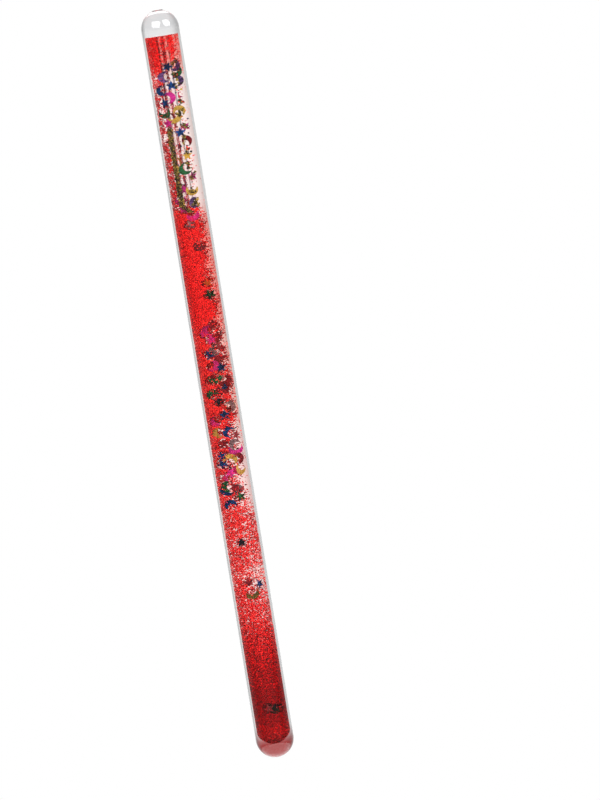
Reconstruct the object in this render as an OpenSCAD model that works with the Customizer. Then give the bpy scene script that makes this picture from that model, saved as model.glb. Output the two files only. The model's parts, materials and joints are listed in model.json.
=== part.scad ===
// Liquid-filled glitter wand: a clear thick-walled tube with one round closed end, shut by
// a domed plug, filled with liquid in which red glitter and foil stars and moons drift.
// Units are millimetres. Z runs along the wand, from the bottom apex (0) up.
// X is to the right and -Y faces the viewer.

/* [Tube] */
// Outer diameter of the tube, its domes included
tube_od = 16; // [14:0.5:18]
// Bore of the tube
bore_d = 9.6; // [9.4:0.1:10.4]
// Overall length from dome to dome
overall_l = 318; // [317:0.5:330]

/* [Ends] */
// Thickness of the tube's closed lower end, at its thinnest
end_t = 6.4; // [5:0.1:8]
// How far the top plug reaches down into the bore
top_spigot_l = 2.8; // [2:0.1:4.6]
// Diameter of the moulding gate left on the top dome
gate_d = 4.6; // [3:0.1:6]
// Height of the moulding gate
gate_h = 0.5; // [0.3:0.1:1]

/* [Air bubble] */
// Diameter of the long air bubble left at the top of the liquid
bubble_d = 3.9; // [2:0.1:3.9]
// Length of the air bubble
bubble_l = 73.5; // [20:0.5:74]

/* [Foil shapes] */
// Tip radius of a foil star
star_r = 2.2; // [1.6:0.1:2.3]
// Inner corner radius of a star as a share of its tip radius
star_waist = 0.45; // [0.35:0.05:0.6]
// Outer radius of a foil moon
moon_r = 2.4; // [1.8:0.1:2.5]
// Thickness of the foil
foil_t = 0.1; // [0.06:0.01:0.14]

/* [Glitter] */
// Width of one glitter flake
flake_w = 0.8; // [0.4:0.1:0.9]
// Distance of the glitter from the axis
flake_ring_r = 4.5; // [4.45:0.01:4.54]
// Flakes in each glitter zone
flakes_per_zone = 18; // [8:1:24]

/* [Hidden] */
$fn = 0;
tube_r = tube_od / 2;
bore_r = bore_d / 2;
tube_bottom_z = tube_r;
tube_top_z = overall_l - tube_r;
fill_bottom_z = end_t;
bore_bottom_z = end_t + bore_r;
fill_top_z = tube_top_z - top_spigot_l;
dome_trim = gate_h;
// how far a cutter reaches past the face it opens
cut_past = 0.5;
golden_turn = 137.508;

// the round bite that makes a disc of foil a crescent
moon_bite_r = moon_r * 0.76;
moon_bite_shift = moon_r * 0.6;

flake_t = foil_t * 0.8;
// clear space between a zone's end and its first flake
flake_end_gap = 0.15;
// ring of flakes in the bore's round end, and the height of the lowest flake over it
bowl_ring_z = fill_bottom_z + bore_r * 0.42;
bowl_ring_r = bore_r * 0.66;
bowl_flake_z = fill_bottom_z + 0.7;

// lowest point of each drifting group, at rest
bed_z = 18.4;
grip_z = 67.4;
lone_z = 89.6;
mid_z = 105.4;
duo_z = 194.4;
single_z = 215.4;
top_z = 224.6;

// ---------------------------------------------------------------- shapes

// sets a flat piece at height z and turns it about its own face; it faces outward,
// or the direction that face gives
module placed(z, around, out, turn, face) {
    translate([out * sin(around), -out * cos(around), z])
        rotate([0, 0, face])
            rotate([90, 0, 0])
                rotate([0, 0, turn])
                    children();
}

// five-pointed foil star
module star(z, around, out, turn, face = undef) {
    placed(z, around, out, turn, face == undef ? around : face)
        linear_extrude(height = foil_t, center = true)
            polygon([
                for (i = [0:9])
                    let (r = i % 2 == 0 ? star_r : star_r * star_waist)
                    [r * sin(36 * i), r * cos(36 * i)]
            ]);
}

// foil crescent moon
module moon(z, around, out, turn, face = undef) {
    placed(z, around, out, turn, face == undef ? around : face)
        difference() {
            cylinder(r = moon_r, h = foil_t, center = true);
            translate([moon_bite_shift, 0, 0])
                cylinder(r = moon_bite_r, h = 3 * foil_t, center = true);
        }
}

// one hexagonal flake of glitter
module flake() {
    cylinder(d = flake_w, h = flake_t, center = true, $fn = 6);
}

// one zone of glitter: flakes spread along the bore wall by a golden-angle spiral
module flakes(z_from, z_to, start) {
    margin = flake_w / 2 + flake_end_gap;
    rise = (z_to - z_from - 2 * margin) / (flakes_per_zone - 1);
    for (i = [0:flakes_per_zone - 1])
        let (around = start + i * golden_turn)
            placed(z_from + margin + i * rise, around, flake_ring_r, 0, around)
                flake();
}

// domed end, flat side at z = 0
module dome() {
    intersection() {
        sphere(r = tube_r);
        translate([0, 0, tube_r])
            cube([2 * tube_od, 2 * tube_od, tube_od], center = true);
    }
}

// ---------------------------------------------------------------- body

// room inside the bore, round at its lower end, up to height z_to
module bore(z_to) {
    translate([0, 0, bore_bottom_z]) {
        sphere(r = bore_r);
        cylinder(r = bore_r, h = z_to - bore_bottom_z);
    }
}

module tube() {
    color([0.93, 0.95, 0.96])
        difference() {
            union() {
                translate([0, 0, tube_bottom_z])
                    cylinder(r = tube_r, h = tube_top_z - tube_bottom_z);
                translate([0, 0, tube_bottom_z])
                    mirror([0, 0, 1])
                        dome();
            }
            bore(tube_top_z + cut_past);
        }
}

module top_plug() {
    color([0.90, 0.92, 0.93])
        union() {
            intersection() {
                translate([0, 0, tube_top_z])
                    dome();
                translate([0, 0, tube_top_z])
                    cylinder(r = 2 * tube_r, h = tube_r - dome_trim);
            }
            translate([0, 0, fill_top_z])
                cylinder(r = bore_r, h = top_spigot_l + tube_r / 2);
            translate([0, 0, tube_top_z + tube_r / 2])
                cylinder(d = gate_d, h = tube_r / 2);
        }
}

// space of the air bubble, under the top plug, with a round lower tip
module bubble() {
    translate([0, 0, fill_top_z - bubble_l + bubble_d / 2]) {
        sphere(d = bubble_d);
        cylinder(d = bubble_d, h = bubble_l);
    }
}

// liquid fills the bore around the bubble and everything that drifts in it
module liquid() {
    color([0.98, 0.86, 0.86])
        difference() {
            bore(fill_top_z);
            bubble();
            all_glitter();
            all_confetti();
        }
}

// ---------------------------------------------------------------- glitter

// settled glitter: along the bore and down in its round end
module glitter_settled() {
    color([0.55, 0.02, 0.06]) {
        flakes(bore_bottom_z, bed_z, 0);
        for (around = [0:60:300])
            placed(bowl_ring_z, around, bowl_ring_r, 0, around)
                flake();
        translate([0, 0, bowl_flake_z])
            flake();
    }
}

module glitter_bed() {
    color([0.62, 0.04, 0.07])
        flakes(bed_z, grip_z, 40);
}

module glitter_grip() {
    color([0.80, 0.16, 0.17])
        flakes(grip_z, lone_z, 80);
}

module glitter_lone() {
    color([0.84, 0.20, 0.18])
        flakes(lone_z, mid_z, 120);
}

module glitter_mid() {
    color([0.84, 0.14, 0.15])
        flakes(mid_z, duo_z, 160);
}

module glitter_duo() {
    color([0.84, 0.14, 0.15])
        flakes(duo_z, single_z, 200);
}

module glitter_single() {
    color([0.84, 0.16, 0.16])
        flakes(single_z, top_z, 240);
}

module glitter_top() {
    color([0.86, 0.18, 0.18])
        flakes(top_z, fill_top_z, 280);
}

module all_glitter() {
    glitter_settled();
    glitter_bed();
    glitter_grip();
    glitter_lone();
    glitter_mid();
    glitter_duo();
    glitter_single();
    glitter_top();
}

// ---------------------------------------------------------------- foil shapes
// each call gives height, angle round the axis, distance from the axis, turn,
// and, for a piece that does not face straight outward, the way it faces

module bed_star_silver() {
    color([0.80, 0.78, 0.78])
        star(21, -6, 3.4, 12);
}

module bed_moon_green() {
    color([0.12, 0.25, 0.12])
        moon(21, 70, 2.2, 60, 30);
}

module grip_star_red() {
    color([0.65, 0.05, 0.10])
        star(75, -4, 3.4, 8);
}

module grip_star_blue() {
    color([0.10, 0.22, 0.60])
        star(73.5, 64, 3.4, 30);
}

module grip_moon_olive() {
    color([0.35, 0.33, 0.12])
        moon(70, 10, 2, 100);
}

module lone_star_black() {
    color([0.08, 0.07, 0.09])
        star(92, -9, 3.4, 0);
}

module mid_stars_blue() {
    color([0.08, 0.14, 0.42]) {
        star(172, -20, 3.4, 20);
        star(166, 36, 3.4, 0);
        star(129, -44, 3.4, 15);
        star(146, 12, 3.4, 0);
        star(157, 58, 2.6, 0);
        star(125.5, -78, 2.2, 30, -30);
        star(141, 172, 3.3, 10);
    }
}

module mid_stars_pink() {
    color([0.80, 0.10, 0.50]) {
        star(178, 6, 3.4, 5);
        star(181, -30, 3.4, 0);
        star(121.5, -6, 3.4, 40);
        star(119.5, -66, 2.4, 10);
        star(122, 28, 2.2, 0);
        star(171, 178, 3.3, 25);
    }
}

module mid_stars_red() {
    color([0.62, 0.16, 0.12]) {
        star(178.5, 74, 2.2, 30, 30);
        star(184, 30, 3.4, 0);
        star(161, -34, 2.2, 0);
        star(137, 70, 3.4, 48);
        star(134, -20, 3.4, 0);
        star(115, 2, 3.4, 20);
        star(155, 190, 3.3, 5);
    }
}

module mid_star_green() {
    color([0.10, 0.45, 0.25])
        star(111, 30, 3.4, 12);
}

module mid_star_black() {
    color([0.08, 0.07, 0.09])
        star(152, -6, 3.4, 18);
}

module mid_moons_red() {
    color([0.55, 0.08, 0.12]) {
        moon(175, 66, 3.2, 40);
        moon(168.5, 76, 2.2, -30, 30);
        moon(160.5, 80, 2.2, 120, 35);
        moon(157, 28, 3.3, 70);
        moon(127, 62, 3.3, 210);
    }
}

module mid_moons_silver() {
    color([0.75, 0.75, 0.77]) {
        moon(173.5, 30, 2, 20);
        moon(149, 60, 3.3, 200);
        moon(133, 46, 3.3, -40);
        moon(114, 185, 3.3, 30);
    }
}

module mid_moons_pink() {
    color([0.50, 0.12, 0.52]) {
        moon(167, -20, 1.9, 150);
        moon(182, -6, 2.2, 0);
        moon(144, -52, 3.3, 30);
        moon(131, 80, 2.2, 80, 30);
    }
}

module mid_moons_green() {
    color([0.16, 0.46, 0.20]) {
        moon(162, -8, 3.3, 100);
        moon(155, -40, 3.4, 300);
        moon(116, -38, 3.4, 0);
        moon(178, 230, 3.3, 0);
    }
}

module mid_moons_gold() {
    color([0.62, 0.52, 0.14]) {
        moon(139, -43, 3.3, 10);
        moon(127, 4, 2.4, 250);
        moon(122.5, 62, 3.3, 60);
        moon(149, 140, 3.3, 90);
    }
}

module mid_moons_blue() {
    color([0.10, 0.12, 0.36]) {
        moon(138.5, 24, 3.3, 330);
        moon(114.5, -78, 2.1, 20, -30);
        moon(108, -36, 3.3, -70);
    }
}

module duo_star_orange() {
    color([0.80, 0.42, 0.10])
        star(202, 38, 3.4, 10);
}

module duo_star_green() {
    color([0.08, 0.32, 0.20])
        star(197, 74, 2.2, 25, 30);
}

module single_moon_maroon() {
    color([0.42, 0.16, 0.18])
        moon(218, 28, 3.2, 60);
}

module top_stars_blue() {
    color([0.08, 0.24, 0.42]) {
        star(286, 12, 3.4, 0);
        star(294, 6, 3.4, 48);
        star(266, 20, 3.4, 0);
        star(279, -46, 3.4, 15);
        star(260, 175, 3.3, 20);
    }
}

module top_stars_pink() {
    color([0.82, 0.14, 0.46]) {
        star(270.5, -44, 3.4, 5);
        star(268, 70, 2.9, 20, 50);
        star(247, 56, 3.4, 10);
        star(242, -16, 2.9, 0);
        star(234, -40, 2.9, 0);
        star(281, 165, 3.3, 35);
    }
}

module top_star_yellow() {
    color([0.85, 0.68, 0.16])
        star(256, 38, 3.4, 0);
}

module top_star_silver() {
    color([0.72, 0.72, 0.74])
        star(227, -10, 3.4, 15);
}

module top_moons_purple() {
    color([0.34, 0.14, 0.42]) {
        moon(294, 54, 3.3, 150);
        moon(287.5, 74, 2.7, 200, 50);
        moon(290, -20, 3.4, 0);
        moon(236, 42, 3.3, 10);
        moon(244, 200, 3.3, 60);
    }
}

module top_moons_green() {
    color([0.08, 0.42, 0.24]) {
        moon(291.5, 66, 2.95, 140, 50);
        moon(275, -70, 2.9, 100, -50);
        moon(250.5, 16, 2.3, 30);
    }
}

module top_moon_blue() {
    color([0.30, 0.36, 0.56])
        moon(284.5, -54, 3.3, 20);
}

module top_moons_pink() {
    color([0.80, 0.10, 0.48]) {
        moon(281, -20, 2.2, 200);
        moon(238, -44, 3.3, 90);
        moon(231, 14, 3.3, 100);
    }
}

module top_moons_gold() {
    color([0.80, 0.64, 0.18]) {
        moon(275, 34, 3.3, 250);
        moon(272.5, -4, 2.2, 120);
        moon(241.5, 34, 3.3, 80);
        moon(253, 215, 3.3, 0);
    }
}

module top_moons_red() {
    color([0.48, 0.12, 0.12]) {
        moon(264.5, -68, 3.3, 170);
        moon(262, 54, 3.2, 240);
        moon(272, 205, 3.3, 0);
    }
}

module all_confetti() {
    bed_star_silver();
    bed_moon_green();
    grip_star_red();
    grip_star_blue();
    grip_moon_olive();
    lone_star_black();
    mid_stars_blue();
    mid_stars_pink();
    mid_stars_red();
    mid_star_green();
    mid_star_black();
    mid_moons_red();
    mid_moons_silver();
    mid_moons_pink();
    mid_moons_green();
    mid_moons_gold();
    mid_moons_blue();
    duo_star_orange();
    duo_star_green();
    single_moon_maroon();
    top_stars_blue();
    top_stars_pink();
    top_star_yellow();
    top_star_silver();
    top_moons_purple();
    top_moons_green();
    top_moon_blue();
    top_moons_pink();
    top_moons_gold();
    top_moons_red();
}

// ---------------------------------------------------------------- nodes

tube();
top_plug();
liquid();
glitter_settled();
glitter_bed();
glitter_grip();
glitter_lone();
glitter_mid();
glitter_duo();
glitter_single();
glitter_top();
bed_star_silver();
bed_moon_green();
grip_star_red();
grip_star_blue();
grip_moon_olive();
lone_star_black();
mid_stars_blue();
mid_stars_pink();
mid_stars_red();
mid_star_green();
mid_star_black();
mid_moons_red();
mid_moons_silver();
mid_moons_pink();
mid_moons_green();
mid_moons_gold();
mid_moons_blue();
duo_star_orange();
duo_star_green();
single_moon_maroon();
top_stars_blue();
top_stars_pink();
top_star_yellow();
top_star_silver();
top_moons_purple();
top_moons_green();
top_moon_blue();
top_moons_pink();
top_moons_gold();
top_moons_red();
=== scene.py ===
"""Looks of the liquid-filled glitter wand.

Clear tube and top plug, liquid with an air bubble, red glitter, foil stars and moons.
"""

import json
import math

import bmesh
import bpy
import numpy as np
from mathutils import Matrix, Vector

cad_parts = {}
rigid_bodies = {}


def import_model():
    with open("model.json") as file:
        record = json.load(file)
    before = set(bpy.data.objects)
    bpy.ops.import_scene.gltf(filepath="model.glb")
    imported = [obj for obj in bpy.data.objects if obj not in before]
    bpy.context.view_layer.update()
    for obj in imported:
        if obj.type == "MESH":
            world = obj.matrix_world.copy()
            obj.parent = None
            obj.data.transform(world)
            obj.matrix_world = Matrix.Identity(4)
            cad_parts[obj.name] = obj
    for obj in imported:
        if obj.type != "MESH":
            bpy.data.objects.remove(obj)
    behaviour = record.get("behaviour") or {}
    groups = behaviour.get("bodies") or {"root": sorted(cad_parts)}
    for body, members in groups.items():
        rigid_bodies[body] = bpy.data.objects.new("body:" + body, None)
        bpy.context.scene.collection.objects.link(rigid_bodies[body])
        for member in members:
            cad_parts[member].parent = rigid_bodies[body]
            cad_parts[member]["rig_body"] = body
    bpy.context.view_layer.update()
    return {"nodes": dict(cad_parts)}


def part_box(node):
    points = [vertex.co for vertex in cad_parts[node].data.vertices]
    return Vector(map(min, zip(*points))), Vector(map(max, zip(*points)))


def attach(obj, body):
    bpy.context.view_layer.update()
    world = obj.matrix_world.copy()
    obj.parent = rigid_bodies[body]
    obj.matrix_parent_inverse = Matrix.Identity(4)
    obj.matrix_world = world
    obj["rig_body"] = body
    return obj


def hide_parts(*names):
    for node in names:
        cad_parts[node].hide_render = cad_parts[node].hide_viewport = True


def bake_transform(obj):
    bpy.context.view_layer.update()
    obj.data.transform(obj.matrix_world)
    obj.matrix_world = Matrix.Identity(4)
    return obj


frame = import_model()
NODES = frame["nodes"]
MM = 0.001

# refraction: clear plastic in air, the same plastic against the liquid, the liquid against air
PLASTIC_IOR = 1.49
LIQUID_IOR = 1.475
WETTED_IOR = PLASTIC_IOR / LIQUID_IOR

TURNS = 178                       # facets round the tube, as many as the CAD tube has
CREASE = math.radians(30)         # edges sharper than this are not smoothed
LIQUID_GAP = 0.02 * MM            # keeps the liquid's skin off the bore
LEVEL = 1e-6                      # two heights or radii closer than this, in m, count as the same
WELD = 1e-7                       # two points closer than this, in m, are one point
GLITTER_SEED = 7

# the groups that drift, lowest first
GROUPS = ["bed", "grip", "lone", "mid", "duo", "single", "top"]


# ---------------------------------------------------------------- dimensions from the frame

tube_low, tube_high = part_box("tube")
TUBE_R = tube_high.x
WAND_BOTTOM, TUBE_TOP = tube_low.z, tube_high.z
liquid_low, liquid_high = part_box("liquid")
BORE_R = liquid_high.x
FILL_BOTTOM, FILL_TOP = liquid_low.z, liquid_high.z
BORE_LOW = FILL_BOTTOM + BORE_R   # where the bore's round end begins
WAND_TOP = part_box("top_plug")[1].z
CENTRE = Vector((0, 0, (WAND_TOP + WAND_BOTTOM) / 2))


def wall_points(name):
    """Distance from the axis and height of each point of a CAD node."""
    co = np.array([v.co for v in NODES[name].data.vertices])
    return np.hypot(co[:, 0], co[:, 1]), co[:, 2]


def bubble_size():
    """Radius and lowest point of the air bubble, read from the liquid's own hollow."""
    r, z = wall_points("liquid")
    rim = r[(z > FILL_TOP - LEVEL) & (r < 0.8 * BORE_R)]
    radius = float(rim.min())
    on_axis = (r < 0.02 * MM) & (z > FILL_BOTTOM + MM)
    return radius, float(z[on_axis].min())


def gate_radius():
    """Radius of the small moulding gate on the top dome."""
    r, z = wall_points("top_plug")
    return float(r[z > WAND_TOP - LEVEL].max())


BUBBLE_R, BUBBLE_LOW = bubble_size()
GATE_R = gate_radius()

# the same in mm, for the glitter
BORE, BOWL_TOP = BORE_R / MM, BORE_LOW / MM
BUBBLE, TIP = BUBBLE_R / MM, BUBBLE_LOW / MM


# ---------------------------------------------------------------- node helpers

def new_material(name):
    """An empty material, its node tree and its output node."""
    mat = bpy.data.materials.new(name)
    mat.use_nodes = True
    tree = mat.node_tree
    tree.nodes.clear()
    out = tree.nodes.new("ShaderNodeOutputMaterial")
    return mat, tree, out


def add(tree, kind, **values):
    """A new node with these values; a name that is not an input is set on the node itself."""
    node = tree.nodes.new(kind)
    for key, value in values.items():
        if key in node.inputs:
            node.inputs[key].default_value = value
        else:
            setattr(node, key, value)
    return node


def principled(tree, **values):
    """A principled shader with these inputs, underscores standing for spaces."""
    node = tree.nodes.new("ShaderNodeBsdfPrincipled")
    for key, value in values.items():
        node.inputs[key.replace("_", " ")].default_value = value
    return node


def ramp(tree, stops):
    """A colour ramp; stops are (place, colour)."""
    node = tree.nodes.new("ShaderNodeValToRGB")
    elements = node.color_ramp.elements
    while len(elements) < len(stops):
        elements.new(0.5)
    for element, (place, colour) in zip(elements, stops):
        element.position = place
        element.color = (*colour, 1)
    return node


def by_height(tree, stops):
    """Colour that changes up the wand; stops are (height in mm, colour)."""
    top = stops[-1][0]
    where = add(tree, "ShaderNodeTexCoord")
    split = add(tree, "ShaderNodeSeparateXYZ")
    height = add(tree, "ShaderNodeMapRange")
    height.inputs["From Max"].default_value = top * MM
    shade = ramp(tree, [(z / top, colour) for z, colour in stops])
    tree.links.new(where.outputs["Object"], split.inputs["Vector"])
    tree.links.new(split.outputs["Z"], height.inputs["Value"])
    tree.links.new(height.outputs["Result"], shade.inputs["Fac"])
    return shade.outputs["Color"]


# ---------------------------------------------------------------- materials

def clear_material(name, ior, tint=(1, 1, 1), ripple=0.0, edge=None, painted_light_bands=None):
    """Clear solid whose contents are lit: shadows pass straight through it.

    ripple is how wavy its surface is, edge a second tint for where the surface turns away, used as painted
    shade, and bands are (height in mm, tint), painted light and shade up the wand.
    """
    mat, tree, out = new_material(name)
    link = tree.links.new
    glass = principled(tree, Base_Color=(*tint, 1), Transmission_Weight=1.0, IOR=ior, Roughness=0.0)
    if edge:
        # painted shade: the tint turns to the edge colour where the surface turns away
        turn = add(tree, "ShaderNodeLayerWeight", Blend=0.5)
        shade = ramp(tree, [(0.0, tint), (0.45, tint), (0.85, edge), (1.0, edge)])
        link(turn.outputs["Facing"], shade.inputs["Fac"])
        link(shade.outputs["Color"], glass.inputs["Base Color"])
    # painted light and shade: the clear plastic's colour changes with height
    if painted_light_bands:
        link(by_height(tree, painted_light_bands), glass.inputs["Base Color"])
    clear = add(tree, "ShaderNodeBsdfTransparent")
    clear.inputs["Color"].default_value = (*tint, 1)
    path = add(tree, "ShaderNodeLightPath")
    mix = add(tree, "ShaderNodeMixShader")
    if ripple:
        where = add(tree, "ShaderNodeTexCoord")
        noise = add(tree, "ShaderNodeTexNoise", Scale=90.0, Detail=2.0)
        bump = add(tree, "ShaderNodeBump", Strength=ripple, Distance=0.0002)
        link(where.outputs["Object"], noise.inputs["Vector"])
        link(noise.outputs["Fac"], bump.inputs["Height"])
        link(bump.outputs["Normal"], glass.inputs["Normal"])
    link(path.outputs["Is Shadow Ray"], mix.inputs["Fac"])
    link(glass.outputs["BSDF"], mix.inputs[1])
    link(clear.outputs["BSDF"], mix.inputs[2])
    link(mix.outputs["Shader"], out.inputs["Surface"])
    return mat


def unbent_material(name, tint):
    """A face that bends nothing: cemented plastic, or the liquid's skin inside the bore wall."""
    mat, tree, out = new_material(name)
    clear = add(tree, "ShaderNodeBsdfTransparent")
    clear.inputs["Color"].default_value = (*tint, 1)
    tree.links.new(clear.outputs["BSDF"], out.inputs["Surface"])
    return mat


def haze_material(name):
    """A skin that bends nothing and takes its tint from its own points."""
    mat, tree, out = new_material(name)
    tint = add(tree, "ShaderNodeAttribute", attribute_name="tint")
    clear = add(tree, "ShaderNodeBsdfTransparent")
    tree.links.new(tint.outputs["Color"], clear.inputs["Color"])
    tree.links.new(clear.outputs["BSDF"], out.inputs["Surface"])
    return mat


def foil_material(name, low, high):
    """Metallised film: each piece has its own shade between two colours, with faint creases."""
    mat, tree, out = new_material(name)
    link = tree.links.new
    island = add(tree, "ShaderNodeNewGeometry")
    shade = ramp(tree, [(0.0, low), (1.0, high)])
    where = add(tree, "ShaderNodeTexCoord")
    crease = add(tree, "ShaderNodeTexNoise", Scale=420.0, Detail=3.0)
    bump = add(tree, "ShaderNodeBump", Strength=0.35, Distance=0.0003)
    foil = principled(tree, Metallic=0.85, Roughness=0.28)
    link(island.outputs["Random Per Island"], shade.inputs["Fac"])
    link(where.outputs["Object"], crease.inputs["Vector"])
    link(crease.outputs["Fac"], bump.inputs["Height"])
    link(shade.outputs["Color"], foil.inputs["Base Color"])
    link(bump.outputs["Normal"], foil.inputs["Normal"])
    link(foil.outputs["BSDF"], out.inputs["Surface"])
    return mat


def glitter_material(name, dark, mid, bright):
    """Glitter dust or broken foil: every flake takes its own shade."""
    mat, tree, out = new_material(name)
    link = tree.links.new
    island = add(tree, "ShaderNodeNewGeometry")
    shade = ramp(tree, [(0.0, dark), (0.55, mid), (1.0, bright)])
    flake = principled(tree, Metallic=0.0, Roughness=0.5, Specular_IOR_Level=0.06)
    link(island.outputs["Random Per Island"], shade.inputs["Fac"])
    link(shade.outputs["Color"], flake.inputs["Base Color"])
    link(flake.outputs["BSDF"], out.inputs["Surface"])
    return mat


def floor_material():
    """Matt white paint with a very faint cloudiness."""
    mat, tree, out = new_material("floor_paint")
    where = add(tree, "ShaderNodeTexCoord")
    noise = add(tree, "ShaderNodeTexNoise", Scale=3.0, Detail=4.0)
    shade = ramp(tree, [(0.0, (0.93, 0.93, 0.93)), (1.0, (0.96, 0.96, 0.96))])
    paint = principled(tree, Roughness=0.9, Emission_Color=(1, 1, 1, 1), Emission_Strength=0.12)
    tree.links.new(where.outputs["Object"], noise.inputs["Vector"])
    tree.links.new(noise.outputs["Fac"], shade.inputs["Fac"])
    tree.links.new(shade.outputs["Color"], paint.inputs["Base Color"])
    tree.links.new(paint.outputs["BSDF"], out.inputs["Surface"])
    return mat


# painted light: the clear plastic's low end is tinted red to stand for the red glitter's light seen through
# it, and its top is tinted grey as painted shade
PLASTIC = clear_material("clear_plastic", PLASTIC_IOR, ripple=0.05, painted_light_bands=[
    (0, (0.52, 0.09, 0.07)),
    (2.5, (0.38, 0.018, 0.014)),
    (6.5, (0.34, 0.012, 0.012)),
    (13, (1, 1, 1)),
    (305, (1, 1, 1)),
    (308, (0.80, 0.80, 0.805)),
])
# painted shade: the clear dome is tinted grey, and greyer still where its surface turns away
DOME_PAINTED_SHADE = clear_material(
    "clear_plastic_dome_painted_shade", PLASTIC_IOR, tint=(0.73, 0.73, 0.74), ripple=0.08, edge=(0.40, 0.40, 0.41))
WETTED = clear_material("clear_plastic_wetted", WETTED_IOR)
CEMENTED = unbent_material("clear_plastic_cemented", (1, 1, 1))
LIQUID = unbent_material("liquid", (1.0, 0.93, 0.92))
LIQUID_TO_AIR = clear_material("liquid_surface", LIQUID_IOR)

# darkest and lightest shade of each foil
FOILS = {
    "silver": ((0.14, 0.09, 0.10), (0.42, 0.32, 0.34)),
    "green": ((0.01, 0.05, 0.015), (0.03, 0.24, 0.08)),
    "red": ((0.12, 0.004, 0.01), (0.40, 0.02, 0.03)),
    "blue": ((0.003, 0.004, 0.02), (0.008, 0.09, 0.36)),
    "olive": ((0.10, 0.09, 0.02), (0.22, 0.18, 0.03)),
    "black": ((0.008, 0.007, 0.010), (0.02, 0.015, 0.03)),
    "pink": ((0.55, 0.01, 0.22), (0.85, 0.06, 0.45)),
    "gold": ((0.42, 0.27, 0.03), (0.85, 0.62, 0.14)),
    "orange": ((0.60, 0.20, 0.02), (0.75, 0.28, 0.03)),
    "maroon": ((0.14, 0.02, 0.03), (0.24, 0.06, 0.07)),
    "purple": ((0.02, 0.003, 0.04), (0.26, 0.16, 0.48)),
    "yellow": ((0.80, 0.52, 0.06), (0.90, 0.64, 0.12)),
}


# ---------------------------------------------------------------- mesh helpers

def new_object(name, data):
    """An object in the scene that shows this mesh, light or camera."""
    obj = bpy.data.objects.new(name, data)
    bpy.context.scene.collection.objects.link(obj)
    return obj


def arc(centre_z, radius, start_deg, end_deg, steps):
    """Points (r, z) on an arc about a point of the axis, angles from the horizontal."""
    angles = [math.radians(start_deg + (end_deg - start_deg) * i / steps) for i in range(steps + 1)]
    return [(radius * math.cos(a), centre_z + radius * math.sin(a)) for a in angles]


def lathe(name, profile, materials):
    """Turns a profile of (r, z, material of the stretch that follows) round the axis into a closed solid.

    The profile runs so that the solid is on its left, seen with r to the right and z up.
    """
    verts, rings = [], []
    for r, z, _ in profile:
        if r < WELD:
            rings.append([len(verts)])
            verts.append((0, 0, z))
        else:
            rings.append(list(range(len(verts), len(verts) + TURNS)))
            verts += [
                (r * math.cos(a), r * math.sin(a), z)
                for a in (2 * math.pi * k / TURNS for k in range(TURNS))
            ]
    faces, slots = [], []
    closed = len(rings[0]) > 1 and len(rings[-1]) > 1
    pairs = list(zip(range(len(rings) - 1), range(1, len(rings))))
    if closed:
        pairs.append((len(rings) - 1, 0))
    for i, j in pairs:
        a, b = rings[i], rings[j]
        if len(a) == 1 and len(b) == 1:
            continue
        for k in range(TURNS):
            n = (k + 1) % TURNS
            if len(a) == 1:
                faces.append((a[0], b[n], b[k]))
            elif len(b) == 1:
                faces.append((a[k], a[n], b[0]))
            else:
                faces.append((a[k], a[n], b[n], b[k]))
            slots.append(profile[i][2])
    mesh = bpy.data.meshes.new(name)
    mesh.from_pydata(verts, [], faces)
    for mat in materials:
        mesh.materials.append(mat)
    mesh.polygons.foreach_set("material_index", slots)
    mesh.polygons.foreach_set("use_smooth", [True] * len(faces))
    mesh.update()
    bm = bmesh.new()
    bm.from_mesh(mesh)
    bmesh.ops.recalc_face_normals(bm, faces=bm.faces)
    for edge in bm.edges:
        if len(edge.link_faces) == 2 and edge.calc_face_angle(0) > CREASE:
            edge.smooth = False
    bm.to_mesh(mesh)
    bm.free()
    return new_object(name, mesh)


# ---------------------------------------------------------------- shell

def make_tube():
    """The tube with its round closed end: polished outside, wetted bore, cemented to the plug."""
    outside, wet, glued = 0, 1, 2
    lip = 0.05 * MM
    dome = arc(WAND_BOTTOM + TUBE_R, TUBE_R, -90, 0, steps=48)
    bowl = arc(BORE_LOW, BORE_R, 0, -90, steps=32)
    profile = [(max(r, 0) if i else 0, z, outside) for i, (r, z) in enumerate(dome)]
    profile += [
        (TUBE_R, TUBE_TOP, glued),
        (BORE_R, TUBE_TOP, glued),
        (BORE_R, FILL_TOP + lip, glued),
        (BORE_R, FILL_TOP, wet),
    ]
    profile += [(r, z, wet) for r, z in bowl[:-1]] + [(0, bowl[-1][1], wet)]
    tube = lathe("clear_tube", profile, [PLASTIC, WETTED, CEMENTED])
    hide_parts("tube")
    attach(tube, "shell")


def make_top_plug():
    """The plug: spigot, round dome and the small gate on its tip, with a dimple in it."""
    outside, wet, glued = 0, 1, 2
    bevel = 0.12 * MM
    dimple = GATE_R * 0.55
    rim_angle = math.degrees(math.acos(GATE_R / TUBE_R))
    dome = arc(TUBE_TOP, TUBE_R, 0, rim_angle, steps=40)
    profile = [
        (0, FILL_TOP, outside),
        (BUBBLE_R, FILL_TOP, wet),
        (BORE_R, FILL_TOP, glued),
        (BORE_R, TUBE_TOP, glued),
    ]
    profile += [(r, z, outside) for r, z in dome]
    if dome[-1][1] < WAND_TOP - bevel:
        profile += [(GATE_R, WAND_TOP - bevel, outside)]
    profile += [
        (GATE_R - bevel, WAND_TOP, outside),
        (dimple, WAND_TOP - bevel, outside),
        (0, WAND_TOP - bevel, outside),
    ]
    plug = lathe("clear_top_plug", profile, [DOME_PAINTED_SHADE, WETTED, CEMENTED])
    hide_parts("top_plug")
    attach(plug, "shell")


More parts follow.
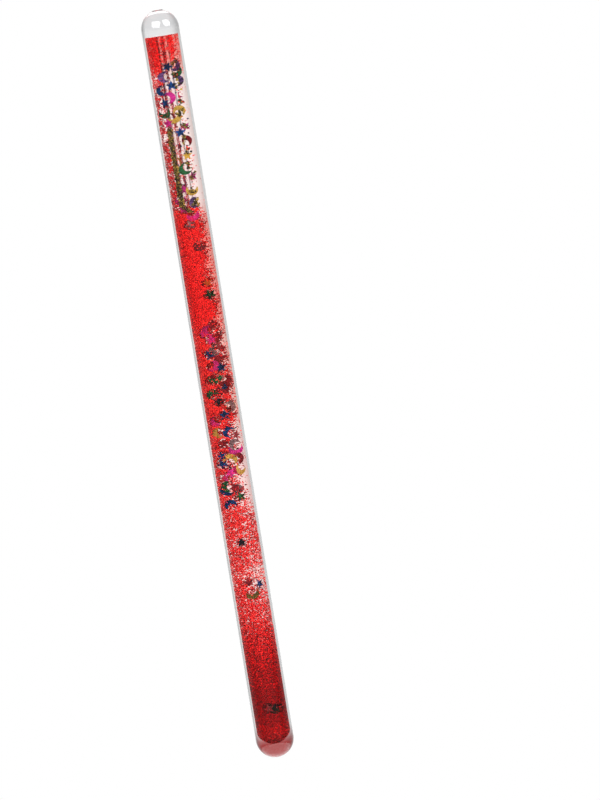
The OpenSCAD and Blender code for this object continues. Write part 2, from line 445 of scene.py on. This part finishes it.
def make_liquid():
    """The liquid, with the long air bubble under the top plug as a hollow in it."""
    skin, surface = 0, 1
    r = BORE_R - LIQUID_GAP
    bowl = arc(BORE_LOW, r, -90, 0, steps=32)
    tip = arc(BUBBLE_LOW + BUBBLE_R, BUBBLE_R, 0, -90, steps=24)
    top = FILL_TOP - LIQUID_GAP
    profile = [(max(p, 0) if i else 0, z, skin) for i, (p, z) in enumerate(bowl)]
    profile += [(r, top, skin), (BUBBLE_R, top, surface)]
    profile += [(max(p, 0), z, surface) for p, z in tip[:-1]] + [(0, tip[-1][1], surface)]
    liquid = lathe("clear_liquid", profile, [LIQUID, LIQUID_TO_AIR])
    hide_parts("liquid")
    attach(liquid, "shell")


# ---------------------------------------------------------------- foil shapes

def foil_nodes():
    """The CAD nodes that are stars and moons, by name."""
    return {n: o for n, o in NODES.items() if o["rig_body"] in GROUPS and not n.startswith("glitter_")}


def paint_foils():
    """Foil finish on every star and moon."""
    mats = {c: foil_material("foil_" + c, low, high) for c, (low, high) in FOILS.items()}
    for name, obj in foil_nodes().items():
        colour = name.split("_")[-1]
        obj.data.materials.clear()
        obj.data.materials.append(mats[colour])


def foil_pieces():
    """Centre and face direction of every single star and moon."""
    found = []
    for obj in foil_nodes().values():
        bm = bmesh.new()
        bm.from_mesh(obj.data)
        bmesh.ops.remove_doubles(bm, verts=bm.verts, dist=WELD)
        left = dict.fromkeys(bm.verts)   # in their own order, so that each run gives the same list
        while left:
            todo, island = [left.popitem()[0]], []
            while todo:
                v = todo.pop()
                island.append(v)
                for e in v.link_edges:
                    w = e.other_vert(v)
                    if w in left:
                        del left[w]
                        todo.append(w)
            co = np.array([v.co for v in island])
            _, _, axes = np.linalg.svd(co - co.mean(0), full_matrices=False)
            found.append((co.mean(0), axes[2]))
        bm.free()
    return found


def group_span(group):
    """Lowest and highest point of a group's foil shapes."""
    boxes = [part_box(n) for n, o in foil_nodes().items() if o["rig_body"] == group]
    return min(b[0].z for b in boxes), max(b[1].z for b in boxes)


# ---------------------------------------------------------------- glitter

# how thickly the glitter lies along the tube: height in mm, then flakes per square mm of
# wall on the left, in the middle and on the right, as seen from the front
DENSITY = np.array([
    (6, 34, 34, 34),
    (36, 34, 34, 34),
    (56, 15, 13, 11),
    (64, 12, 10, 9),
    (72, 12, 7, 4),
    (80, 9, 4, 2),
    (84, 10, 9, 7),
    (103, 11, 9, 8),
    (106, 14, 8, 4),
    (118, 15, 7, 1.5),
    (140, 20, 10, 2.5),
    (146, 29, 25, 15),
    (158, 29, 25, 15),
    (164, 27, 15, 10),
    (180, 29, 25, 11),
    (186, 33, 31, 8),
    (222, 33, 29, 5),
    (232, 28, 20, 7),
    (240, 20, 4, 1.5),
    (270, 18, 4, 1.2),
    (290, 14, 3.5, 1.0),
    (296, 30, 22, 16),
    (300, 32, 32, 32),
    (306, 34, 34, 34),
])
# how the finest dust tints what is seen through it: height in mm, then red, green and blue
HAZE = np.array([
    (6, 0.94, 0.30, 0.30),
    (36, 0.97, 0.45, 0.43),
    (58, 1.0, 0.90, 0.89),
    (136, 1.0, 0.92, 0.91),
    (148, 1.0, 0.84, 0.80),
    (182, 1.0, 0.80, 0.76),
    (188, 1.0, 0.60, 0.56),
    (226, 1.0, 0.65, 0.61),
    (237, 1.0, 0.97, 0.96),
    (290, 1.0, 0.99, 0.98),
    (296, 1.0, 0.67, 0.63),
    (308, 1.0, 0.56, 0.52),
])
HAZE_STEP = 1.5                   # mm between the rings of a sleeve of haze
HAZE_GAP = 0.025                  # mm between a sleeve of haze and the bore
LEFT_AT, RIGHT_AT = -0.55, 0.55   # place of the left and right columns, as a share of the bore
THIN_FROM = 100                   # height in mm above which the glitter thins out at the far right
THIN_ACROSS = (0.5, 0.85)         # the sideways places, as a share of the bore, it thins out between
THIN_TO = 0.12                    # the share of it that is left at the second of them

FLAKE_R = (0.18, 0.28)            # smallest and largest flake, mm
END_GAP = 0.1 * MM                # between the dust of a gap and the group below it
HAZE_END_GAP = 0.01 * MM          # the same for its haze
FLAKE_GAP = 0.06                  # mm between the flakes' centres and the bore
CORNER_GAP = 0.03                 # mm between the flakes' corners and the bore
WALL_SHARE = 0.72                 # flakes that lie near the wall; the others float anywhere
WALL_DEPTH = 0.35                 # how far from the wall those lie on average, mm
CLEAR_BEFORE = 0.95               # share of the flakes in front of a foil shape that are left out

BUBBLE_SKIN = 0.15                # mm round the air bubble without flakes
BEFORE_BUBBLE = 0.12              # share of flakes left in front of the bubble and at its back corners
BACK_CORNER = math.radians(45)    # where those corners are, from the back, and half their width
BACK_CORNER_HALF = math.radians(27)
CLINGING = 30                     # flakes along each mm of the air bubble
CLINGING_DEEP = 0.75              # share of dark flakes among those, painted reflection of the dark that the bubble's sides mirror
BESIDE_DEEP = 0.5                 # share of dark flakes left of the bubble's lower end, painted reflection
BESIDE_RISE, BESIDE_FROM = 50, -1  # how far up and how far from the axis those are, mm
PAINTED_SHADE_TO = (28, 60)                # heights in mm between which the settled glitter's painted shade, its dark flakes, gives way to bright flakes
FOOT_FROM, FOOT_RISE, FOOT_SHARE = 7, 8, 0.15  # the glitter's foot, where its painted shade eases: height and rise in mm, least share of dark flakes

LINE_SCRAPS, DASH_SCRAPS = 1150, 420  # dark scraps on the left of the air bubble, a painted reflection, and scraps of foil on its right
LINE_RISE, LINE_DROP = 36, 1.4    # length of the dark line, and how far under the bubble it starts, mm
LINE_X, LINE_SWEEP = -2.45, 3.2   # its sideways place, and how far its foot sweeps to the right, mm
LINE_BEND, LINE_FOOT = 3.2, 4.6   # height above the bubble's tip where the sweep starts, its length, mm
SCRAPS_BY_PIECE = 22              # scraps of foil close to each star and moon of a crowd
SCRAP_SPREAD = (1.6, 1.0, 1.9)    # how far from its centre they lie, along X, Y and Z, mm
SCRAP_GAP = 0.5                   # mm between them and the bore, the bubble and the crowd's foot
SCRAP_R = (0.22, 0.46)            # smallest and largest scrap, mm
DASH_R = (0.32, 0.70)             # the same for those on the right of the air bubble
SCRAP_TUMBLE = 1.2                # how much scraps turn away from the wall
FLAKE_TUMBLE = 0.45               # how much flakes do
HEXAGON = 6

# the room round a foil shape, all in mm
SHAPE_RISE = 2.6                  # half the height of the stretch in which flakes are looked at
SHAPE_SIGHT = 2.3                 # radius of the view kept open in front of it, along Y
SHAPE_FACE, SHAPE_SKIN = 2.5, 0.28  # radius and half the thickness of the room it takes
SHAPE_AHEAD = 2.0                 # radius of the view kept open along its own face direction

LEAST = 0.01                      # keeps squared distances (mm) above nothing


def glitter_density(x, z):
    """Flakes per square mm of wall at sideways place x (share of the bore) and height z in mm."""
    columns = [np.interp(z, DENSITY[:, 0], DENSITY[:, c]) for c in (1, 2, 3)]
    t = np.clip((x - LEFT_AT) / (RIGHT_AT - LEFT_AT), 0, 1) * 2
    low, high = np.clip(1 - t, 0, 1), np.clip(t - 1, 0, 1)
    thin = np.where(z > THIN_FROM, np.interp(x, THIN_ACROSS, (1, THIN_TO)), 1)
    return (columns[0] * low + columns[1] * (1 - low - high) + columns[2] * high) * thin


def covering(points, pieces, rng, share):
    """Which points touch a foil shape, or, for this share of them, lie in front of one."""
    hide = rng.random(len(points)) < share
    gone = np.zeros(len(points), bool)
    for centre, face in pieces:
        centre = centre / MM
        gap = points - centre
        close = np.abs(gap[:, 2]) < SHAPE_RISE
        before = gap[:, 1] * (1 if centre[1] > 0 else -1) > 0
        gone |= close & before & (np.hypot(gap[:, 0], gap[:, 2]) < SHAPE_SIGHT) & hide
        if not close.any():
            continue
        face = face if face[:2] @ centre[:2] > 0 else -face
        ahead = gap @ face
        beside = np.sqrt(np.maximum((gap ** 2).sum(1) - ahead ** 2, 0))
        gone |= close & (beside < SHAPE_FACE) & (np.abs(ahead) < SHAPE_SKIN)
        gone |= close & (beside < SHAPE_AHEAD) & (ahead > 0) & hide
    return gone


def scatter(low, high, rng, pieces):
    """Centres (mm) of flakes between two heights, thick where the glitter is thick.

    None is inside a foil shape or the air bubble, and few are in front of them.
    """
    most = DENSITY[:, 1:].max()
    full = BORE - FLAKE_GAP
    count = int(most * 2 * math.pi * full * (high - low))
    around = rng.uniform(0, 2 * math.pi, count)
    z = rng.uniform(low, high, count)
    bore = np.sqrt(np.maximum(full ** 2 - np.maximum(BOWL_TOP - z, 0) ** 2, LEAST))
    near = rng.random(count) < WALL_SHARE
    r = np.where(near, bore - rng.exponential(WALL_DEPTH, count), bore * np.sqrt(rng.random(count)))
    x, y = r * np.sin(around), -r * np.cos(around)

    # slow waves that shift the glitter sideways, and quicker ones that gather it in clumps
    swirl = 0.10 * np.sin(z * 0.55 + 2.2 * around) + 0.08 * np.sin(z * 0.21 + 1.7)
    clump = 1 + 0.35 * np.sin(z * 1.3 + 3 * around + 1.5 * np.sin(z * 0.37))
    keep = rng.random(count) * most < glitter_density(x / bore + swirl, z) * clump
    keep &= (r > 0.2) & (r < bore)

    beside_bubble = z > TIP - 0.2
    keep &= ~(beside_bubble & (r < BUBBLE + BUBBLE_SKIN))
    before_bubble = beside_bubble & (y < 0) & (np.abs(x) < BUBBLE + 0.2)
    from_corner = np.abs(np.abs(around - math.pi) - BACK_CORNER)
    beside_back = beside_bubble & (from_corner < BACK_CORNER_HALF)
    keep &= ~((before_bubble | beside_back) & (rng.random(count) > BEFORE_BUBBLE))

    from_line = np.abs(z - TIP - LINE_RISE / 2 + LINE_DROP)
    beside_line = (y < 0) & (np.abs(x - line_place(z)) < 0.9) & (from_line < LINE_RISE / 2)
    keep &= ~(beside_line & (r > bore - 0.8))
    points = np.stack([x, y, z], 1)[keep]
    return points[~covering(points, pieces, rng, CLEAR_BEFORE)]


def painted_shade_share(points):
    """Share of dark flakes, painted shade low in the wand and painted reflection along the air bubble: most
    of those low in the wand, and those along the air bubble.
    """
    x, y, z = points.T
    share = 1 - np.clip((z - PAINTED_SHADE_TO[0]) / (PAINTED_SHADE_TO[1] - PAINTED_SHADE_TO[0]), 0, 1)
    share *= np.clip((z - FOOT_FROM) / FOOT_RISE, FOOT_SHARE, 1)
    clinging = (z > TIP) & (np.hypot(x, y) < BUBBLE + 0.6)
    left = (z > TIP) & (z < TIP + BESIDE_RISE) & (x < BESIDE_FROM)
    return np.where(clinging, CLINGING_DEEP, np.maximum(share, BESIDE_DEEP * left))


def bubble_dust(rng):
    """Flakes along the air bubble, on its left side and behind it; their darkness is painted reflection of
    the dark that the bubble's sides mirror.
    """
    length = FILL_TOP / MM - TIP
    count = int(length * CLINGING)
    side = rng.random(count) < 0.5
    left = rng.normal(math.radians(-88), 0.20, count)
    behind = rng.normal(math.pi, 0.22, count)
    around = np.where(side, left, behind)
    z = TIP + 1 + (length - 1.5) * rng.random(count)
    r = BUBBLE + rng.uniform(0.18, 0.5, count)
    return np.stack([r * np.sin(around), -r * np.cos(around), z], 1)


def line_place(z):
    """Sideways place, for heights in mm, of the dark line down the air bubble's left and under its tip."""
    return LINE_X + LINE_SWEEP * (np.maximum(TIP + LINE_BEND - z, 0) / LINE_FOOT) ** 2


def bubble_line(rng):
    """Dark bits that make a dark line beside the air bubble, thicker towards its foot: painted reflection
    of dark surroundings in the bubble's side.
    """
    z = TIP - LINE_DROP + LINE_RISE * rng.random(LINE_SCRAPS) ** 1.2
    x = line_place(z) + rng.normal(0, 0.42, LINE_SCRAPS)
    r = BORE - rng.uniform(0.3, 0.7, LINE_SCRAPS)
    return np.stack([x, -np.sqrt(np.maximum(r ** 2 - x ** 2, LEAST)), z], 1)


def bubble_dashes(rng):
    """Larger bits of foil in broken, slightly wavy streaks on the air bubble's right."""
    up = rng.random(DASH_SCRAPS)   # share of the way up the bubble
    kept = np.sin(up * 74) + 0.6 * np.sin(up * 31 + 1) > -0.2
    z = TIP + 1 + ((FILL_TOP - BUBBLE_LOW) / MM - 10) * up
    x = rng.normal(2.5, 0.5, DASH_SCRAPS) + 0.5 * np.sin(up * 40)
    r = BORE - rng.uniform(0.7, 1.1, DASH_SCRAPS)
    return np.stack([x, -np.sqrt(np.maximum(r ** 2 - x ** 2, LEAST)), z], 1)[kept]


def crowd_scraps(group, rng, pieces):
    """Bits of dark foil between the stars and moons of a group, none in front of one; partly real dark
    foil, partly painted shadow.
    """
    low, high = group_span(group)
    centres = [c / MM for c, _ in pieces if low < c[2] < high]
    points = np.tile(centres, (SCRAPS_BY_PIECE, 1))
    points += rng.normal(0, SCRAP_SPREAD, points.shape)
    z = points[:, 2]
    r = np.hypot(points[:, 0], points[:, 1])
    kept = (r < BORE - SCRAP_GAP) & (z > low / MM + SCRAP_GAP) & (z < high / MM)
    kept &= (z < TIP - SCRAP_GAP) | (r > BUBBLE + SCRAP_GAP)
    return points[kept & ~covering(points, pieces, rng, 1)]


def make_scraps():
    """Broken foil, as one piece for each crowd, partly standing for painted shadow and, beside the air
    bubble, painted reflection.
    """
    rng = np.random.default_rng(GLITTER_SEED + 1)
    # the gold scraps also make the painted reflection line beside the air bubble
    gold = glitter_material(
        "foil_scraps_gold", (0.012, 0.012, 0.012), (0.055, 0.045, 0.012), (0.30, 0.22, 0.04))
    # dark scraps: partly real dark foil, partly painted shadow
    dark = glitter_material(
        "foil_scraps_dark", (0.006, 0.006, 0.03), (0.03, 0.004, 0.012), (0.16, 0.006, 0.03))
    pieces = foil_pieces()
    as_gold, as_dark = 0, 1
    for group, share in (("grip", 1), ("mid", 1), ("top", 0.4)):
        crowd = crowd_scraps(group, rng, pieces)
        parts = [(crowd[:int(len(crowd) * share)], SCRAP_R, as_dark)]
        if group == "top":
            parts += [(bubble_line(rng), SCRAP_R, as_gold), (bubble_dashes(rng), DASH_R, as_gold)]
        points = np.concatenate([places for places, _, _ in parts])
        sizes = np.concatenate([rng.uniform(*span, len(places)) for places, span, _ in parts])
        shades = np.concatenate([np.full(len(places), shade) for places, _, shade in parts])
        name = "foil_scraps_" + group
        scraps = new_object(name, flake_mesh(name, points, sizes, rng, SCRAP_TUMBLE, shades))
        scraps.data.materials.append(gold)
        scraps.data.materials.append(dark)
        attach(scraps, group)


def flake_mesh(name, points, sizes, rng, tumble=FLAKE_TUMBLE, shades=None):
    """Small flat hexagons at those points, lying along the wall when tumble is low.

    shades says for each whether it takes the first or the second material.
    """
    n = len(points)
    bowl = np.minimum(points[:, 2] - BOWL_TOP, 0)
    outward = np.stack([points[:, 0], points[:, 1], bowl], 1)
    outward /= np.linalg.norm(outward, axis=1, keepdims=True)
    face = outward + rng.normal(0, tumble, (n, 3))
    face /= np.linalg.norm(face, axis=1, keepdims=True)
    side = np.cross(face, rng.normal(0, 1, (n, 3)))
    side /= np.linalg.norm(side, axis=1, keepdims=True)
    up = np.cross(face, side)
    size = sizes[:, None]
    corners = [
        points + size * (math.cos(a) * side + math.sin(a) * up)
        for a in (2 * math.pi * k / HEXAGON for k in range(HEXAGON))
    ]
    co = np.stack(corners, 1).reshape(-1, 3)
    centre = np.zeros_like(co)
    centre[:, 2] = np.maximum(co[:, 2], BOWL_TOP)
    reach = np.linalg.norm(co - centre, axis=1)
    most = BORE - CORNER_GAP
    co = centre + (co - centre) * (np.minimum(reach, most) / np.maximum(reach, 1e-6))[:, None]
    mesh = bpy.data.meshes.new(name)
    mesh.vertices.add(len(co))
    mesh.vertices.foreach_set("co", (co * MM).astype(np.float32).ravel())
    mesh.loops.add(len(co))
    mesh.loops.foreach_set("vertex_index", np.arange(len(co), dtype=np.int32))
    mesh.polygons.add(n)
    mesh.polygons.foreach_set("loop_start", np.arange(0, len(co), HEXAGON, dtype=np.int32))
    if shades is None:
        shades = rng.random(n) < painted_shade_share(points)
    mesh.polygons.foreach_set("material_index", shades.astype(np.int32))
    mesh.update(calc_edges=True)
    mesh.validate()
    return mesh


def haze_sleeve(name, low, high, haze):
    """A sleeve against the bore that stands for the finest dust between two heights in mm."""
    wall = BORE - HAZE_GAP
    low = max(low, BOWL_TOP - wall + 0.01)   # no lower than the sleeve's own bowl reaches
    z = np.linspace(low, high, max(2, int((high - low) / HAZE_STEP) + 1))
    r = np.sqrt(wall ** 2 - np.maximum(BOWL_TOP - z, 0) ** 2)
    turns = np.arange(TURNS) * 2 * math.pi / TURNS
    rise = np.repeat(z[:, None], TURNS, 1)
    co = np.stack([np.outer(r, np.cos(turns)), np.outer(r, np.sin(turns)), rise], 2)
    faces = [
        (i * TURNS + k, i * TURNS + (k + 1) % TURNS, (i + 1) * TURNS + (k + 1) % TURNS, (i + 1) * TURNS + k)
        for i in range(len(z) - 1) for k in range(TURNS)
    ]
    mesh = bpy.data.meshes.new(name)
    mesh.from_pydata((co.reshape(-1, 3) * MM).tolist(), [], faces)
    tint = np.stack([np.interp(z, HAZE[:, 0], HAZE[:, c]) for c in (1, 2, 3)] + [np.ones(len(z))], 1)
    tints = mesh.color_attributes.new("tint", "FLOAT_COLOR", "POINT")
    tints.data.foreach_set("color", np.repeat(tint, TURNS, 0).ravel())
    mesh.materials.append(haze)
    sleeve = new_object(name, mesh)
    return sleeve


def make_glitter():
    """Glitter and haze: one piece for each group, and one for each gap."""
    rng = np.random.default_rng(GLITTER_SEED)
    pieces = foil_pieces()
    # painted shade: a darker copy of the red glitter for the flakes low in the wand and along the air
    # bubble
    deep = glitter_material(
        "glitter_red_painted_shade", (0.13, 0.0, 0.002), (0.21, 0.0, 0.003), (0.30, 0.001, 0.006))
    bright = glitter_material(
        "glitter_bright_red", (0.34, 0.003, 0.005), (0.50, 0.010, 0.011), (0.74, 0.05, 0.042))
    haze = haze_material("glitter_haze")

    def dust(name, node, low, high, extra=None):
        points = scatter(low / MM, high / MM, rng, pieces)
        if extra is not None:
            points = np.concatenate([points, extra])
        obj = new_object(name, flake_mesh(name, points, rng.uniform(*FLAKE_R, len(points)), rng))
        obj.data.materials.append(bright)
        obj.data.materials.append(deep)
        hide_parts(node)
        return obj

    below, below_top, node = "shell", FILL_BOTTOM, "glitter_settled"
    for group in GROUPS:
        low, high = group_span(group)
        gap = dust(f"dust_below_{group}", node, below_top + END_GAP, low)
        sleeve = haze_sleeve(f"haze_below_{group}", (below_top + HAZE_END_GAP) / MM, low / MM, haze)
        for obj in (gap, sleeve):
            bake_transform(obj)
        node = "glitter_" + group
        if group == "top":
            high = FILL_TOP - END_GAP
        held = dust(f"dust_{group}", node, low, high, bubble_dust(rng) if group == "top" else None)
        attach(held, group)
        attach(haze_sleeve(f"haze_{group}", low / MM, high / MM, haze), group)
        below, below_top = group, high


# ---------------------------------------------------------------- studio

FLOOR_R = 0.65                     # m
FLOOR_BELOW = 0.35                 # m under the wand
FLOOR_TURNS = 96


def make_floor():
    """A round white table top some way below the wand."""
    turns = [2 * math.pi * k / FLOOR_TURNS for k in range(FLOOR_TURNS)]
    rim = [(FLOOR_R * math.cos(a), FLOOR_R * math.sin(a), WAND_BOTTOM - FLOOR_BELOW) for a in turns]
    mesh = bpy.data.meshes.new("floor")
    mesh.from_pydata(rim, [], [tuple(range(FLOOR_TURNS))])
    floor = new_object("floor", mesh)
    mesh.materials.append(floor_material())


# the studio's shade from the camera's side (0) to behind the wand (1)
SHADE_BACK = [
    (0.0, (0.30, 0.30, 0.305)),
    (0.35, (0.42, 0.42, 0.43)),
    (0.62, (0.95, 0.95, 0.95)),
    (1.0, (1.05, 1.05, 1.05)),
]
# and what that is multiplied by from the left (0) to the right (1)
SHADE_ACROSS = [
    (0.0, (0.5, 0.5, 0.5)),
    (0.10, (0.62, 0.62, 0.62)),
    (0.30, (1, 1, 1)),
    (0.82, (1, 1, 1)),
    (0.96, (0.45, 0.45, 0.45)),
]


def make_world():
    """Surround that lights the wand, brighter behind it; the camera itself sees plain white."""
    world = bpy.data.worlds.new("studio")
    bpy.context.scene.world = world
    world.use_nodes = True
    tree = world.node_tree
    tree.nodes.clear()
    link = tree.links.new
    out = tree.nodes.new("ShaderNodeOutputWorld")
    where = tree.nodes.new("ShaderNodeTexCoord")
    split = tree.nodes.new("ShaderNodeSeparateXYZ")
    span = tree.nodes.new("ShaderNodeMapRange")
    span.inputs["From Min"].default_value = -1
    shade = ramp(tree, SHADE_BACK)
    across = tree.nodes.new("ShaderNodeMapRange")
    across.inputs["From Min"].default_value = -1
    sides = ramp(tree, SHADE_ACROSS)
    both = tree.nodes.new("ShaderNodeMix")
    both.data_type, both.blend_type = "RGBA", "MULTIPLY"
    both.inputs["Factor"].default_value = 1
    around = tree.nodes.new("ShaderNodeBackground")
    plain = tree.nodes.new("ShaderNodeBackground")
    plain.inputs["Color"].default_value = (1, 1, 1, 1)
    path = tree.nodes.new("ShaderNodeLightPath")
    mix = tree.nodes.new("ShaderNodeMixShader")
    link(where.outputs["Generated"], split.inputs["Vector"])
    link(split.outputs["Y"], span.inputs["Value"])
    link(span.outputs["Result"], shade.inputs["Fac"])
    link(split.outputs["X"], across.inputs["Value"])
    link(across.outputs["Result"], sides.inputs["Fac"])
    colour_a, colour_b, colour_out = both.inputs[6], both.inputs[7], both.outputs[2]
    link(shade.outputs["Color"], colour_a)
    link(sides.outputs["Color"], colour_b)
    link(colour_out, around.inputs["Color"])
    link(path.outputs["Is Camera Ray"], mix.inputs["Fac"])
    link(around.outputs["Background"], mix.inputs[1])
    link(plain.outputs["Background"], mix.inputs[2])
    link(mix.outputs["Shader"], out.inputs["Surface"])


def soft_light(name, place, width, height, watts, mirrored=True):
    """A softbox, aimed at the wand's middle, that isn't seen through the clear parts."""
    data = bpy.data.lights.new(name, "AREA")
    data.shape = "RECTANGLE"
    data.size, data.size_y = width, height
    data.energy = watts
    light = new_object(name, data)
    light.location = place
    light.visible_transmission = False
    light.visible_glossy = mirrored
    light.rotation_euler = (CENTRE - Vector(place)).to_track_quat("-Z", "Y").to_euler()


def make_lights():
    """Softboxes to the left, to the right and overhead."""
    soft_light("key_left", (-0.8, -1.6, 1.45), 2.0, 1.5, 80)
    soft_light("fill_right", (1.3, -1.1, 1.35), 1.5, 1.4, 56)
    soft_light("overhead", (0.0, 0.2, 1.9), 1.6, 1.6, 20, mirrored=False)


CAMERA_DISTANCE = 6.5              # m
CAMERA_RISE = math.radians(3.5)    # how far the camera looks down
WAND_LEAN = math.radians(9.15)     # lean of the wand to the left in the picture
VIEW_HEIGHT = 0.3357               # height that the picture covers at the wand, m
ASIDE, BELOW = 0.0346, -0.0067     # how far right and down the camera stands from the wand's middle, m


def make_camera():
    """A camera far off with a long lens, turned so that the wand leans as in the photo."""
    data = bpy.data.cameras.new("camera")
    camera = new_object("camera", data)
    data.sensor_fit = "VERTICAL"
    data.sensor_height = 36
    data.lens = data.sensor_height * CAMERA_DISTANCE / VIEW_HEIGHT
    data.clip_start, data.clip_end = 0.05, 100
    forward = Vector((0, math.cos(CAMERA_RISE), -math.sin(CAMERA_RISE)))
    level, up = Vector((1, 0, 0)), Vector((0, math.sin(CAMERA_RISE), math.cos(CAMERA_RISE)))
    right = level * math.cos(WAND_LEAN) - up * math.sin(WAND_LEAN)
    top = level * math.sin(WAND_LEAN) + up * math.cos(WAND_LEAN)
    place = CENTRE - forward * CAMERA_DISTANCE + right * ASIDE + top * BELOW
    turn = Matrix((right, top, -forward)).transposed()
    camera.matrix_world = Matrix.Translation(place) @ turn.to_4x4()
    bpy.context.scene.camera = camera


def make_look():
    """Plain colours, and enough bounces for light through tube, liquid and haze."""
    scene = bpy.context.scene
    scene.view_settings.view_transform = "Standard"
    scene.cycles.max_bounces = 24
    scene.cycles.transmission_bounces = 24
    scene.cycles.transparent_max_bounces = 32
    scene.cycles.glossy_bounces = 8
    scene.cycles.diffuse_bounces = 4


make_camera()
make_world()
make_lights()
make_look()
make_floor()
make_tube()
make_top_plug()
make_liquid()
paint_foils()
make_glitter()
make_scraps()

bpy.context.view_layer.update()
